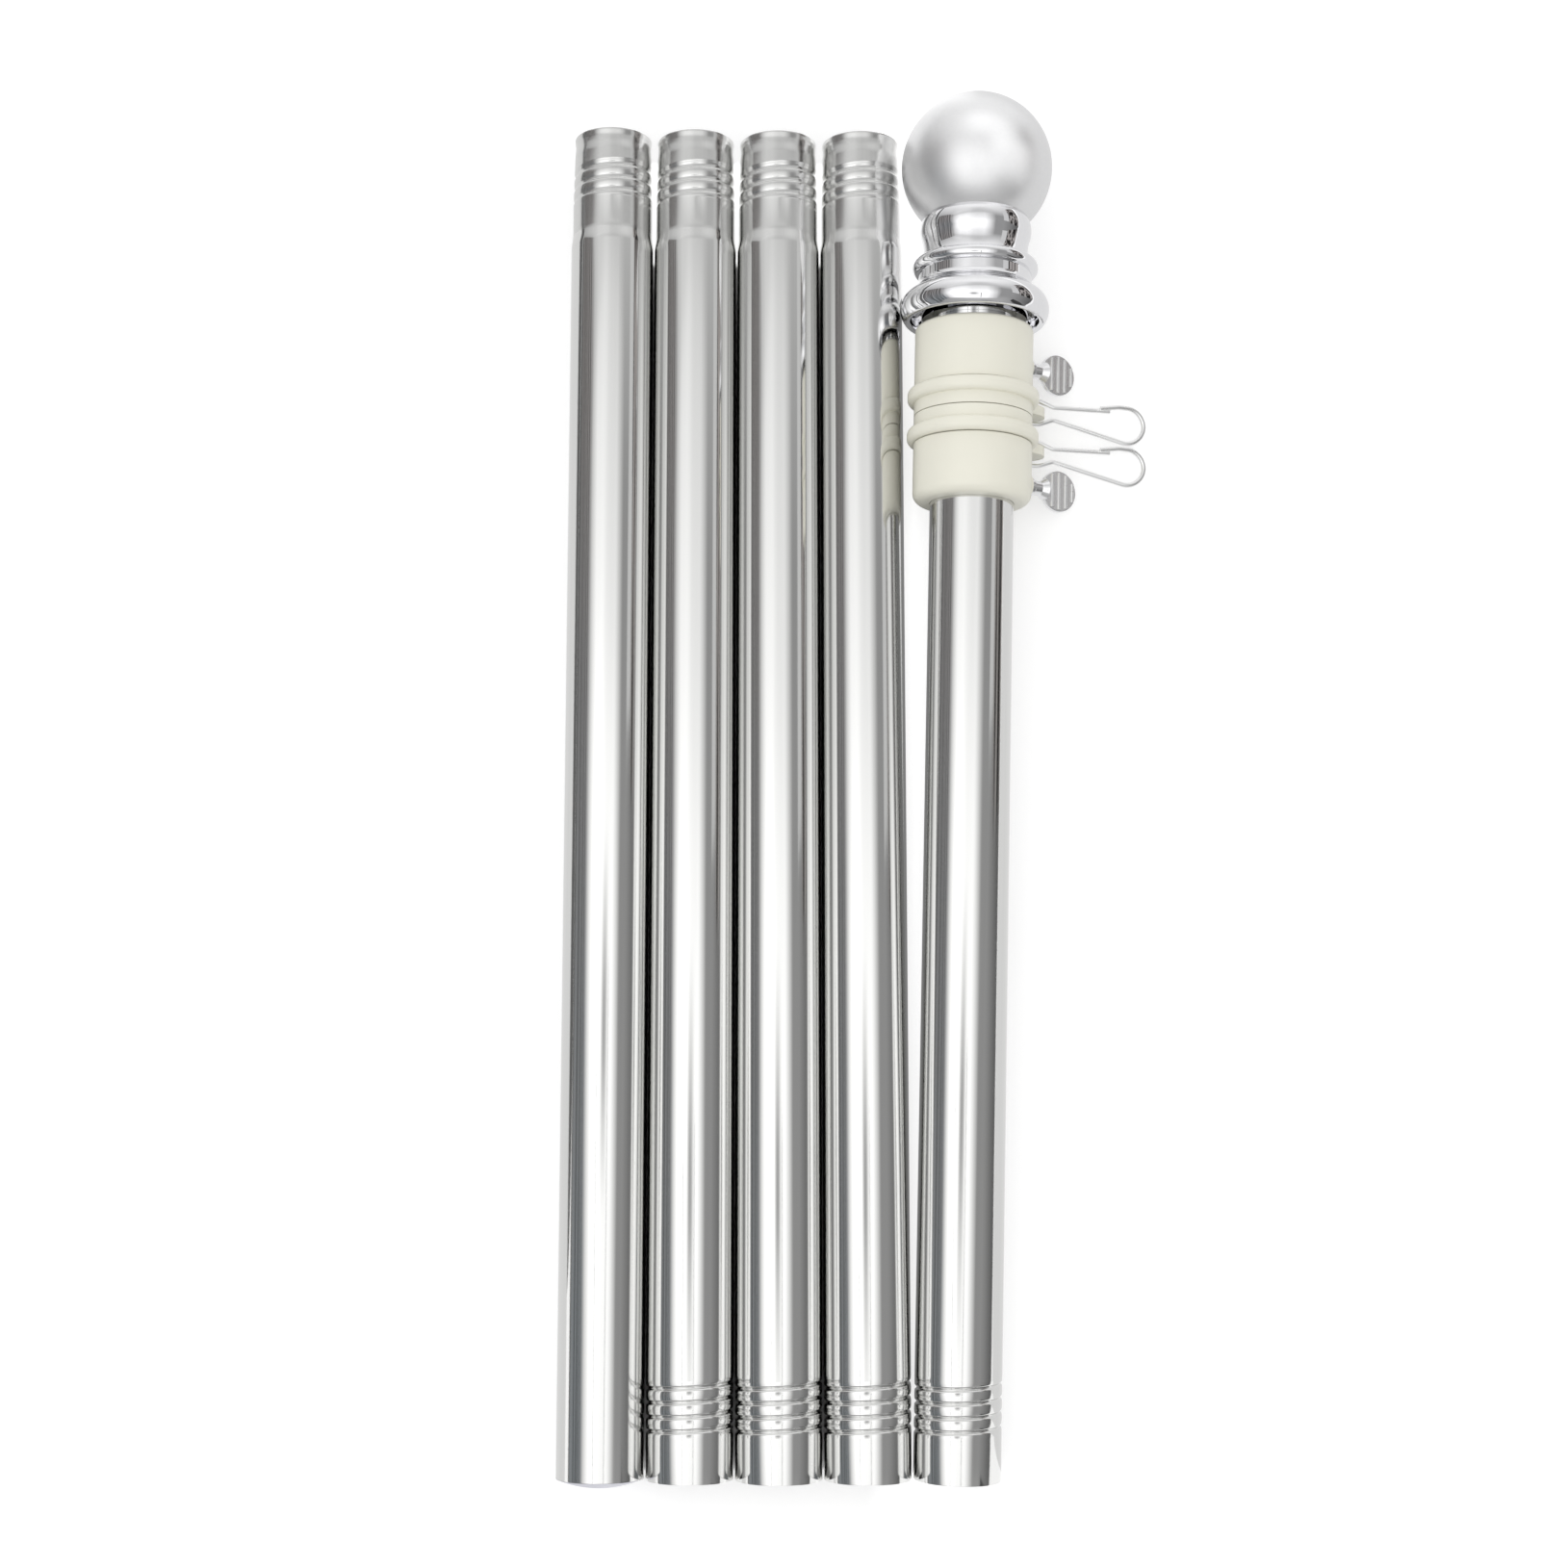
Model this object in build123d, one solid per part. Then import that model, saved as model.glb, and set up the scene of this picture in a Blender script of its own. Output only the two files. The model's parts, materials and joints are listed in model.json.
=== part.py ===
from build123d import *
import math
import os

# Sectional house flagpole taken apart for storage: four tube sections side by side and the top
# section, with its finial, swivel rings, collars and snap clips, lying across their right side.
# Millimetres. +Y runs along the sections towards the finial, +Z is up, the kit lies on z = 0.

# Tube sections
tube_radius = 12.7
tube_wall = 0.4
section_length = 404.5
section_gap = 0.3
section_offsets = (0.5, 0.0, -0.2, -0.2)
neck_clearance = 0.15
neck_length = 31.3
shoulder_length = 3.6
rim_length = 5.5
rim_waist = 0.25
rim_roll = 0.1

# End plug of the bottom section
plug_dome_height = 2.6
plug_stem_length = 14.0
plug_clearance = 0.05

# Top section: the tube runs up inside the finial, whose heights start at its skirt's mouth
top_tube_length = 372.0
tube_insertion = 28.4
top_side_gap = 0.3
sleeve_clearance = 0.1
shell_wall = 0.8
skirt_mouth_radius = 21.5
skirt_throat_radius = 19.5
lip_round = 0.6
skirt_radius = 22.7
skirt_rise = 4.4
skirt_shoulder_radius = 19.4
skirt_shoulder_rise = 5.2
groove_radius = 17.3
groove_fillet = 0.5
groove_rise = 2.8
groove_width = 2.6
middle_ring_radius = 19.2
middle_ring_width = 4.4
waist_edge_radius = 16.5
waist_radius = 16.0
waist_width = 6.6
bulge_radius = 17.0
bulge_width = 6.8
neck_top_radius = 16.1
ball_radius = 23.1
liner_radius = 16.2
liner_recess = 0.5

# Collars and swivel rings, stacked down the pole below the finial
finial_gap = 1.8
collar_radius = 18.0
collar_edge = 1.3
collar_foot_edge = 3.0
swivel_gap = 0.3
bead_radius = 20.0
bead_width = 4.4
bead_round = 1.6
flange_length = 3.8
ring_clearance = 0.3
upper_collar_length = 19.2
lower_collar_length = 18.0

# Ears on the rings, and the snap clips that hang in them
ear_droop = 38.4
ear_hole_position = 23.5
ear_tip_radius = 5.2
ear_thickness = 3.0
ear_hole_radius = 1.15
wire_radius = 0.7
eye_half = 3.7
eye_leg = 3.8
eye_bend = 1.1
waist_reach = 8.2
waist_half = 2.0
waist_bend = 2.0
bow_radius = 5.7
bow_top = 3.3
bow_end = 37.6
hook_length = 8.9
hook_rise = 3.0
hook_lap = 3.5
hook_bend = 4.0
wire_gap = 0.2
clip_shift = 0.5
clip_floor_gap = 0.3

# Thumbscrews
upper_screw_droop = 30.0
lower_screw_droop = 28.0
upper_screw_height = 10.2
lower_screw_height = 8.3
boss_radius = 4.2
boss_rise = 2.3
boss_round = 1.0
shank_radius = 2.0
shank_clearance = 0.15
shoulder_radius = 2.9
shoulder_rise = 1.2
shoulder_waist = 2.3
shoulder_taper = 0.6
shoulder_flare = 3.4
flare_rise = 1.4
flare_tip = 3.4
paddle_radius = 6.4
paddle_standoff = 4.9
paddle_thickness = 1.6
paddle_round = 0.3
rib_pitch = 2.5
rib_height = 0.35
rib_width = 0.7
rib_margin = 0.7

# Worked out from the driving sizes
tube_bore = tube_radius - tube_wall
neck_radius = tube_bore - neck_clearance
sleeve_length = section_length - neck_length - shoulder_length
section_spacing = 2 * tube_radius + section_gap
sleeve_bore = tube_radius + sleeve_clearance
skirt_mouth = top_tube_length - tube_insertion
skirt_position = skirt_mouth + skirt_rise
skirt_shoulder = skirt_position + skirt_shoulder_rise
groove_position = skirt_shoulder + groove_rise
ring_foot = groove_position + groove_width
ring_head = ring_foot + middle_ring_width
waist_head = ring_head + waist_width
neck_top = waist_head + bulge_width
ball_centre = neck_top + math.sqrt(ball_radius ** 2 - neck_top_radius ** 2)
liner_bottom = skirt_mouth + liner_recess
collar_top = skirt_mouth - finial_gap
upper_collar_bottom = collar_top - upper_collar_length
upper_bead_top = upper_collar_bottom - swivel_gap
upper_bead_bottom = upper_bead_top - bead_width
swivel_centre = upper_bead_bottom - flange_length - swivel_gap / 2
lower_bead_top = swivel_centre - swivel_gap / 2 - flange_length
lower_bead_bottom = lower_bead_top - bead_width
lower_collar_top = lower_bead_bottom - swivel_gap
lower_collar_bottom = lower_collar_top - lower_collar_length
upper_screw_position = upper_collar_bottom + upper_screw_height
lower_screw_position = lower_collar_bottom + lower_screw_height
upper_ear = (upper_bead_bottom + upper_bead_top) / 2
lower_ear = (lower_bead_bottom + lower_bead_top) / 2
boss_top = collar_radius + boss_rise
paddle_centre = boss_top + paddle_standoff + paddle_radius
top_pitch = math.degrees(math.atan((skirt_radius - tube_radius) / skirt_position))
side_reach = math.sqrt((skirt_radius + tube_radius + top_side_gap) ** 2
                       - (skirt_radius - tube_radius) ** 2)
top_yaw = math.degrees(math.atan((side_reach - section_spacing) / skirt_position))


def section_plane(index):
    """Frame of a parallel section: local Z runs along the tube from its bottom rim."""
    origin = (index * section_spacing, section_offsets[index], tube_radius)
    return Plane(origin=origin, x_dir=(1, 0, 0), z_dir=(0, 1, 0))


def top_plane():
    """Frame of the top section, which leans on its skirt: local X is to the right, local Y down."""
    pitch, yaw = math.radians(top_pitch), math.radians(top_yaw)
    along = Vector(math.sin(yaw) * math.cos(pitch), math.cos(yaw) * math.cos(pitch), math.sin(pitch))
    right = along.cross(Vector(0, 0, 1)).normalized()
    origin = (len(section_offsets) * section_spacing, section_offsets[-1], tube_radius * math.cos(pitch))
    return Plane(origin=origin, x_dir=right, z_dir=along)


pole = top_plane()


def revolve_profile(points):
    """Solid of revolution about local Z from (radius, height) points."""
    outline = make_face(Plane.XZ * Polyline(*points, close=True))
    return revolve(outline, Axis.Z)


def ring(outer, inner, low, high):
    """Plain round sleeve between two heights."""
    sleeve = Cylinder(outer, high - low) - Cylinder(inner, high - low)
    return Pos(0, 0, (low + high) / 2) * sleeve


def thin_walled(outer):
    """Tube whose bore follows its outer surface one wall further in."""
    inner = [(radius - tube_wall, height) for radius, height in reversed(outer)]
    return revolve_profile(outer + inner)


def tube_section():
    """Tube with a sloping shoulder and a narrower neck that enters the next section's foot."""
    rim_start = section_length - rim_length
    return thin_walled([
        (tube_radius, 0), (tube_radius, sleeve_length), (neck_radius, sleeve_length + shoulder_length),
        (neck_radius, rim_start), (neck_radius - rim_waist, rim_start + rim_length / 2),
        (neck_radius - rim_roll, section_length)])


def end_plug():
    """Domed plug with a stem that fills the bottom section's bore."""
    stem = Pos(0, 0, plug_stem_length / 2) * Cylinder(tube_bore - plug_clearance, plug_stem_length)
    sphere = (tube_radius ** 2 + plug_dome_height ** 2) / (2 * plug_dome_height)
    dome = Pos(0, 0, sphere - plug_dome_height) * Sphere(sphere)
    cap = dome & (Pos(0, 0, -plug_dome_height / 2) * Cylinder(tube_radius, plug_dome_height))
    return cap + stem


def top_tube():
    """Tube of the top section, which runs up inside the finial."""
    return thin_walled([(tube_radius, 0), (tube_radius, top_tube_length)])


def finial_ball():
    """Hollow ball that sits on the rolled top of the finial neck."""
    ball = Pos(0, 0, ball_centre) * (Sphere(ball_radius) - Sphere(ball_radius - shell_wall))
    return ball - Pos(0, 0, neck_top - ball_radius) * Cylinder(ball_radius, 2 * ball_radius)


def finial_neck():
    """Spun shell: flared skirt with a rolled lip, groove, middle ring, waist and bulging top."""
    lip = (skirt_mouth_radius + skirt_throat_radius) / 2
    ring_middle = (ring_foot + ring_head) / 2
    waist_middle = (ring_head + waist_head) / 2
    bulge_middle = (waist_head + neck_top) / 2
    throat = groove_radius - shell_wall
    bore = waist_radius - shell_wall
    outline = Curve() + [
        ThreePointArc((skirt_throat_radius, skirt_mouth + lip_round), (lip, skirt_mouth),
                      (skirt_mouth_radius, skirt_mouth + lip_round)),
        ThreePointArc((skirt_mouth_radius, skirt_mouth + lip_round), (skirt_radius, skirt_position),
                      (skirt_shoulder_radius, skirt_shoulder)),
        ThreePointArc((skirt_shoulder_radius, skirt_shoulder),
                      (groove_radius + groove_fillet, groove_position - groove_rise / 2),
                      (groove_radius, groove_position)),
        Line((groove_radius, groove_position), (groove_radius, ring_foot)),
        ThreePointArc((groove_radius, ring_foot), (middle_ring_radius, ring_middle),
                      (waist_edge_radius, ring_head)),
        ThreePointArc((waist_edge_radius, ring_head), (waist_radius, waist_middle),
                      (waist_edge_radius, waist_head)),
        ThreePointArc((waist_edge_radius, waist_head), (bulge_radius, bulge_middle),
                      (neck_top_radius, neck_top)),
        Polyline((neck_top_radius, neck_top), (bore, neck_top), (bore, ring_head), (throat, ring_middle),
                 (throat, skirt_shoulder), (skirt_throat_radius, skirt_position),
                 (skirt_throat_radius, skirt_mouth + lip_round))]
    return revolve(make_face(Plane.XZ * outline), Axis.Z)


def finial_liner():
    """Stepped sleeve that carries the finial on the tube and shows as a bright ring in its mouth."""
    step = groove_position
    wide = ring(liner_radius, sleeve_bore, liner_bottom, step)
    return wide + ring(waist_radius - shell_wall - sleeve_clearance, sleeve_bore, step, top_tube_length)


def collar(low, high, edge_low, edge_high, screw_position, droop):
    """Round collar with a boss for its thumbscrew."""
    body = Pos(0, 0, (low + high) / 2) * Cylinder(collar_radius, high - low)
    if edge_low > 0:
        body = fillet(body.edges().sort_by(Axis.Z)[0], edge_low)
    if edge_high > 0:
        body = fillet(body.edges().sort_by(Axis.Z)[-1], edge_high)
    boss = Pos(0, 0, boss_top / 2) * Cylinder(boss_radius, boss_top)
    boss = fillet(boss.edges().sort_by(Axis.Z)[-1], boss_round)
    bore = Pos(0, 0, boss_top) * Cylinder(shank_radius + shank_clearance, 2 * boss_top)
    hole = Pos(0, 0, (low + high) / 2) * Cylinder(sleeve_bore, high - low)
    seat = screw_seat(screw_position, droop)
    return body + seat * boss - seat * bore - hole


def screw_seat(position, droop):
    """Frame of a thumbscrew: local Z points out of the collar along the screw, local X along the pole."""
    angle = math.radians(droop)
    out = (math.cos(angle), math.sin(angle), 0)
    return Plane(origin=(0, 0, position), x_dir=(0, 0, 1), z_dir=out).location


def ear_place(position):
    """Place of the clip's hole in the ear, at a height along the pole."""
    angle = math.radians(ear_droop)
    return Pos(ear_hole_position * math.cos(angle), ear_hole_position * math.sin(angle), position)


def ear_blank(position):
    """Parallel-sided ear that drops from the bead and ends round about the clip's hole."""
    stem = Rot(0, 0, ear_droop) * Pos(ear_hole_position / 2, 0, 0) * Rectangle(ear_hole_position,
                                                                            2 * ear_tip_radius)
    outline = stem + ear_place(0) * Circle(ear_tip_radius)
    return Pos(0, 0, position - ear_thickness / 2) * extrude(outline, ear_thickness)


def swivel_ring(bead_low, bead_high, flange_low, flange_high):
    """Swivel ring: a round bead with an ear, and a short flange towards the other ring."""
    bead = Pos(0, 0, (bead_low + bead_high) / 2) * Cylinder(bead_radius, bead_high - bead_low)
    bead = fillet(bead.edges(), bead_round)
    ear_position = (bead_low + bead_high) / 2
    ear = ear_blank(ear_position)
    flange = Pos(0, 0, (flange_low + flange_high) / 2) * Cylinder(collar_radius, flange_high - flange_low)
    low, high = min(bead_low, flange_low), max(bead_high, flange_high)
    bore = Pos(0, 0, (low + high) / 2) * Cylinder(tube_radius + ring_clearance, high - low)
    hole = ear_place(ear_position) * Cylinder(ear_hole_radius, 2 * bead_width)
    return bead + ear + flange - bore - hole


def clip_frame(position):
    """Frame of a clip: origin in the ear's hole, local X out along the clip, local Y up the pole."""
    hinge = pole.location * ear_place(position)
    height = hinge.position.Z - wire_radius - clip_floor_gap
    drop = math.asin(height / (bow_end + wire_radius))
    right, along = Vector(pole.x_dir), Vector(pole.z_dir)
    up = right.cross(along)
    out = right * math.cos(drop) - up * math.sin(drop)
    return Plane(origin=hinge.position, x_dir=out, z_dir=out.cross(along))


def snap_clip():
    """Bent spring wire: an eye in the ear, a waist, a straight leg and a bow hooked over the leg."""
    bow_side = bow_radius * 2 - bow_top - waist_half
    turn = math.radians(90) + math.atan(bow_side / (bow_end - waist_reach))
    low_corner = bow_top - bow_radius - bow_radius * math.tan(turn / 2)
    over = 2 * wire_radius + wire_gap
    hook_start = bow_end - bow_radius - hook_rise
    hook_end = bow_end - bow_radius - hook_length
    leg_offset = waist_half + wire_gap
    route = [(hook_end + hook_lap, leg_offset, 0), (waist_reach, waist_half, 0),
             (eye_leg, eye_half, 0), (0, eye_half, 0), (0, -eye_half, 0), (eye_leg, -eye_half, 0),
             (waist_reach, -waist_half, 0), (bow_end, low_corner, 0), (bow_end, bow_top, 0),
             (hook_start, bow_top, over - wire_gap), (hook_end, leg_offset + wire_gap, over)]
    bends = [waist_bend, waist_bend, eye_bend, eye_bend, waist_bend, waist_bend,
             bow_radius, bow_radius, hook_bend]
    path = FilletPolyline(*route, radius=bends)
    start = Plane(origin=path @ 0, z_dir=path % 0)
    return sweep(start * Circle(wire_radius), path=path)


def thumbscrew():
    """Thumbscrew: shank, waisted shoulder and a ribbed round paddle."""
    tip = tube_radius + sleeve_clearance / 2
    foot = paddle_centre - paddle_radius
    shoulder_foot = boss_top + shank_clearance
    body = revolve_profile([
        (0, tip), (shank_radius, tip), (shank_radius, shoulder_foot), (shoulder_radius, shoulder_foot),
        (shoulder_radius, shoulder_foot + shoulder_rise),
        (shoulder_waist, shoulder_foot + shoulder_rise + shoulder_taper),
        (shoulder_waist, foot - shoulder_taper), (shoulder_flare, foot + flare_rise),
        (paddle_thickness / 2, foot + flare_tip), (0, foot + flare_tip)])
    paddle = Pos(0, 0, paddle_centre) * Rot(90, 0, 0) * Cylinder(paddle_radius, paddle_thickness)
    screw = body + fillet(paddle.edges().filter_by(GeomType.CIRCLE), paddle_round)
    steps = int((paddle_radius - rib_margin) / rib_pitch)
    for step in range(-steps, steps + 1):
        across = step * rib_pitch
        length = 2 * math.sqrt((paddle_radius - rib_margin) ** 2 - across ** 2)
        screw += Pos(0, 0, paddle_centre + across) * Box(length, paddle_thickness + 2 * rib_height, rib_width)
    return screw


def build_nodes():
    """Every named piece, placed as the kit lies."""
    names = ("bottom_section_tube", "second_section_tube", "third_section_tube", "fourth_section_tube")
    nodes = {}
    for index, name in enumerate(names):
        nodes[name] = section_plane(index).location * tube_section()
    nodes["bottom_end_plug"] = section_plane(0).location * end_plug()
    nodes["top_section_tube"] = pole.location * top_tube()
    nodes["finial_ball"] = pole.location * finial_ball()
    nodes["finial_neck"] = pole.location * finial_neck()
    nodes["finial_liner"] = pole.location * finial_liner()
    nodes["upper_collar"] = pole.location * collar(upper_collar_bottom, collar_top, 0, collar_edge,
                                                   upper_screw_position, upper_screw_droop)
    nodes["lower_collar"] = pole.location * collar(lower_collar_bottom, lower_collar_top, collar_foot_edge, 0,
                                                   lower_screw_position, lower_screw_droop)
    nodes["upper_swivel_ring"] = pole.location * swivel_ring(upper_bead_bottom, upper_bead_top,
                                                             upper_bead_bottom - flange_length,
                                                             upper_bead_bottom)
    nodes["lower_swivel_ring"] = pole.location * swivel_ring(lower_bead_bottom, lower_bead_top,
                                                             lower_bead_top, lower_bead_top + flange_length)
    nodes["upper_thumbscrew"] = (pole.location * screw_seat(upper_screw_position, upper_screw_droop)
                                 * thumbscrew())
    nodes["lower_thumbscrew"] = (pole.location * screw_seat(lower_screw_position, lower_screw_droop)
                                 * thumbscrew())
    nodes["upper_clip"] = clip_frame(upper_ear + clip_shift).location * snap_clip()
    nodes["lower_clip"] = clip_frame(lower_ear - clip_shift).location * snap_clip()
    return nodes


nodes = build_nodes()
box = Compound(children=[Compound(node.solids()) for node in nodes.values()]).bounding_box()
to_origin = Pos(-box.center().X, -box.center().Y, -box.min.Z)

if __name__ == "__main__":
    os.makedirs("parts", exist_ok=True)
    for name, node in nodes.items():
        export_step(to_origin * node, f"parts/{name}.step")
    print("box", box.size, "floor", box.min.Z)
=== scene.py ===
import bpy
import json
import math
from mathutils import Matrix, Vector


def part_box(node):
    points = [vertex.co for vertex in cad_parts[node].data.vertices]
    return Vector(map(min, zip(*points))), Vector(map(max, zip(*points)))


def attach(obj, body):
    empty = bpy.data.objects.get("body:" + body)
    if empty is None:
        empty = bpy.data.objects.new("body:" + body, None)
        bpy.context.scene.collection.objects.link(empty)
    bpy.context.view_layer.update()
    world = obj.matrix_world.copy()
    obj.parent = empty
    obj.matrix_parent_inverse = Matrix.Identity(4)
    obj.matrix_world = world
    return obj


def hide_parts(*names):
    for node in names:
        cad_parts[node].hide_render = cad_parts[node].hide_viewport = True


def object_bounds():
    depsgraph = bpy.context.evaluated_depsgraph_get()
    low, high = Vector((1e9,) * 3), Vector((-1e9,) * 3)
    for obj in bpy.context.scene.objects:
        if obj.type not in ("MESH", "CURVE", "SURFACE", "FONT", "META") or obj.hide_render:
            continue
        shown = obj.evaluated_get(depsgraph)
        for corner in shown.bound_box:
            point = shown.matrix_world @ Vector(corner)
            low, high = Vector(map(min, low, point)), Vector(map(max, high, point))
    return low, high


# Take-apart flagpole as it lies for storage: four tube sections side by side and the top section
# with its finial, collars, swivel rings and snap clips. Everything is in metres in the part's own
# frame. Sizes of pieces are written in millimetres and turned into metres by MM. Sizes and places
# of the stage are written in metres.

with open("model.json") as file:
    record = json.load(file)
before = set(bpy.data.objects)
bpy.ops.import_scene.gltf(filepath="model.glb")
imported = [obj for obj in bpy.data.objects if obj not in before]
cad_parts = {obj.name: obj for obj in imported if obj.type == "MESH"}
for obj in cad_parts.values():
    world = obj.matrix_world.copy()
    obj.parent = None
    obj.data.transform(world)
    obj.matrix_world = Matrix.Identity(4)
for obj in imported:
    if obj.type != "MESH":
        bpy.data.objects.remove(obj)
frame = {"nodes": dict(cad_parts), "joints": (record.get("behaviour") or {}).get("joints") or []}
cad_low, cad_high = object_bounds()

MM = 0.001

# Tubes
SECTIONS = ("bottom_section_tube", "second_section_tube", "third_section_tube",
            "fourth_section_tube")
TUBE_RADIUS = 12.7
TUBE_WALL = 0.4
SECTION_LENGTH = 404.5
SLEEVE_LENGTH = 369.6
TOP_TUBE_SHOWN = 350.0
SWIVEL_CENTRE = 314.0
ROUND_STEPS = 128
CREASE = 40

# A tube's foot: how far in and how high its rounded outer edge runs, and where its inner face ends
FOOT_EDGE = ((0.12, 0.0), (0.03, 0.06), (0.0, 0.2))
FOOT_INSIDE = 0.1

# Shoulder from a sleeve to its neck, how far it blends into both, and the height of its rows.
# The neck's rougher finish starts a little below the shoulder's end.
SHOULDER_LENGTH = 3.6
SHOULDER_BLEND = 0.8
SHOULDER = (SLEEVE_LENGTH - SHOULDER_BLEND, SLEEVE_LENGTH + SHOULDER_LENGTH + SHOULDER_BLEND)
SHOULDER_ROW = 0.25
FINISH_OVERLAP = 0.6

# Rolled screw thread in a foot: place of the lowest groove, its depth, the turns it runs for, the
# half widths of its flat bottom and of its mouth, how much the crests between are rounded, and
# the turns that have fine rows. All threads fade in and out over THREAD_FADE turns.
THREAD_PITCH = 4.0
THREAD_ROW = 0.16
THREAD_FADE = 0.2
FOOT_GROOVE = 14.8
FOOT_DEPTH = 0.42
FOOT_TURNS = (-0.4, 3.4)
FOOT_GROOVE_WIDTHS = (0.05, 0.75)
FOOT_CREST = 0.22
FOOT_FINE_TURNS = (-1.0, 4.3)

# Rolled screw thread on a neck: place of its lowest groove from the tube's end, the turns it runs
# for, where its lip and its crest rise and how high, where they drop again, and how much the neck
# narrows along the thread
NECK_RADIUS = 12.25
NECK_GROOVE = 19.9
NECK_TURNS = (-0.35, 2.75)
NECK_LIP = (0.9, 1.1, 0.1)
NECK_CREST = (1.0, 2.9, 0.3)
NECK_FALL = (3.3, 4.0)
NECK_DEPTH = NECK_LIP[2] + NECK_CREST[2]
NECK_TAPER = 0.3

# Plain rim over the thread: its radius at the waist and at the end, its length, how far from the
# end the waist and the flare lie, its rows, and the rounding of its edge
RIM_WAIST_RADIUS = 11.72
RIM_RADIUS = 11.95
RIM_LENGTH = 6.4
RIM_WAIST = 3.0
RIM_FLARE = 2.2
RIM_FIRST_ROW = 0.2
RIM_LAST_ROW = 0.15
RIM_ROW = 0.3
RIM_EDGE = 0.06

# Rounded caps of the thumbscrews' ribs
PADDLE_RADIUS = 6.4
PADDLE_HALF = 0.8
RIB_PITCH = 2.5
RIB_STEPS = 2
RIB_MARGIN = 0.6
RIB_HALF_WIDTH = 0.55
RIB_SINK = 0.05
RIB_RISE = 0.5
RIB_ARC = 10
RIB_CREASE = 50


# Frames of the round pieces ---------------------------------------------------------------------

def round_frame(foot, right, along):
    """Frame of a round piece: local X to the right, local Y down, local Z along it."""
    down = along.cross(right)
    place = Matrix((right, down, along)).transposed().to_4x4()
    place.translation = foot
    return place


def section_frame(node):
    """Frame of a parallel section, from its CAD box."""
    low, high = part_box(node)
    foot = Vector(((low.x + high.x) / 2, low.y, (low.z + high.z) / 2))
    return round_frame(foot, Vector((1, 0, 0)), Vector((0, 1, 0)))


def joint(name):
    """A joint of the record by name."""
    return next(entry for entry in frame["joints"] if entry["name"] == name)


def pole_frame():
    """Frame of the top section, from the axis that its rings turn on."""
    swivel = joint("upper_ring_swivel")
    along = -Vector(swivel["axis"]).normalized()
    right = along.cross(Vector((0, 0, 1))).normalized()
    foot = Vector(swivel["pos_m"]) - along * SWIVEL_CENTRE * MM
    return round_frame(foot, right, along)


POLE = pole_frame()


# Meshes -----------------------------------------------------------------------------------------

def smoothstep(low, high, value):
    """0 below low, 1 above high and a smooth rise between them."""
    t = min(max((value - low) / (high - low), 0.0), 1.0)
    return t * t * (3 - 2 * t)


def steps(low, high, step):
    """Evenly spaced heights from low to high, both included."""
    count = max(1, round((high - low) / step))
    return [low + (high - low) * k / count for k in range(count + 1)]


def add_mesh(name, points, faces):
    """Object with a mesh of its own, linked to the scene."""
    mesh = bpy.data.meshes.new(name)
    mesh.from_pydata(points, [], faces)
    mesh.update()
    obj = bpy.data.objects.new(name, mesh)
    bpy.context.scene.collection.objects.link(obj)
    return obj


def add_piece(name, place, local_points, faces, crease=CREASE):
    """Smooth piece in the part's frame that remembers each point's place in its own frame."""
    piece = add_mesh(name, [place @ point for point in local_points], faces)
    mesh = piece.data
    kept = mesh.attributes.new("local_place", "FLOAT_VECTOR", "POINT")
    kept.data.foreach_set("vector", [value for point in local_points for value in point])
    mesh.polygons.foreach_set("use_smooth", [True] * len(mesh.polygons))
    mesh.set_sharp_from_angle(angle=math.radians(crease))
    return piece


def lathe(name, place, outline, relief):
    """Round piece from a closed (radius, height) outline in mm; relief takes depth off the
    radius."""
    points, rows = [], []
    for radius, height in outline:
        rows.append(len(points))
        for k in range(ROUND_STEPS):
            angle = 2 * math.pi * k / ROUND_STEPS
            reach = radius - relief(radius, height, angle)
            points.append(Vector((reach * math.cos(angle), reach * math.sin(angle), height)) * MM)
    faces = []
    for index, row in enumerate(rows):
        following = rows[(index + 1) % len(rows)]
        for k in range(ROUND_STEPS):
            beside = (k + 1) % ROUND_STEPS
            faces.append((row + k, row + beside, following + beside, following + k))
    return add_piece(name, place, points, faces)


def helix(height, angle, first, turns):
    """Turns past the first groove of a right-hand thread, which groove that is, and its
    strength."""
    turned = (angle + math.pi / 2 + math.pi) % (2 * math.pi) - math.pi
    along = (height - first) / THREAD_PITCH - turned / (2 * math.pi)
    nearest = round(along)
    run = nearest + turned / (2 * math.pi)
    start = smoothstep(turns[0], turns[0] + THREAD_FADE, run)
    end = 1 - smoothstep(turns[1] - THREAD_FADE, turns[1], run)
    return along, nearest, start * end


def foot_relief(height, angle):
    """Depth of the thread in a tube's foot: narrow grooves between rounded crests."""
    along, nearest, strength = helix(height, angle, FOOT_GROOVE, FOOT_TURNS)
    away = abs(along - nearest) * THREAD_PITCH
    groove = FOOT_DEPTH * (1 - smoothstep(*FOOT_GROOVE_WIDTHS, away))
    rounding = FOOT_CREST * (2 * away / THREAD_PITCH - 1) ** 2
    return strength * (groove + rounding)


def neck_relief(height, angle, length):
    """Depth of the thread on a tube's neck: flat grooves and crests that lean towards the
    foot."""
    along, _, strength = helix(height, angle, length - NECK_GROOVE, NECK_TURNS)
    place = (along % 1.0) * THREAD_PITCH
    lip = NECK_LIP[2] * smoothstep(NECK_LIP[0], NECK_LIP[1], place)
    past = min(max((place - NECK_CREST[0]) / (NECK_CREST[1] - NECK_CREST[0]), 0.0), 1.0)
    crest = NECK_CREST[2] * (1 - (1 - past) ** 2)
    return strength * (NECK_DEPTH - (lip + crest) * (1 - smoothstep(*NECK_FALL, place)))


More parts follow.
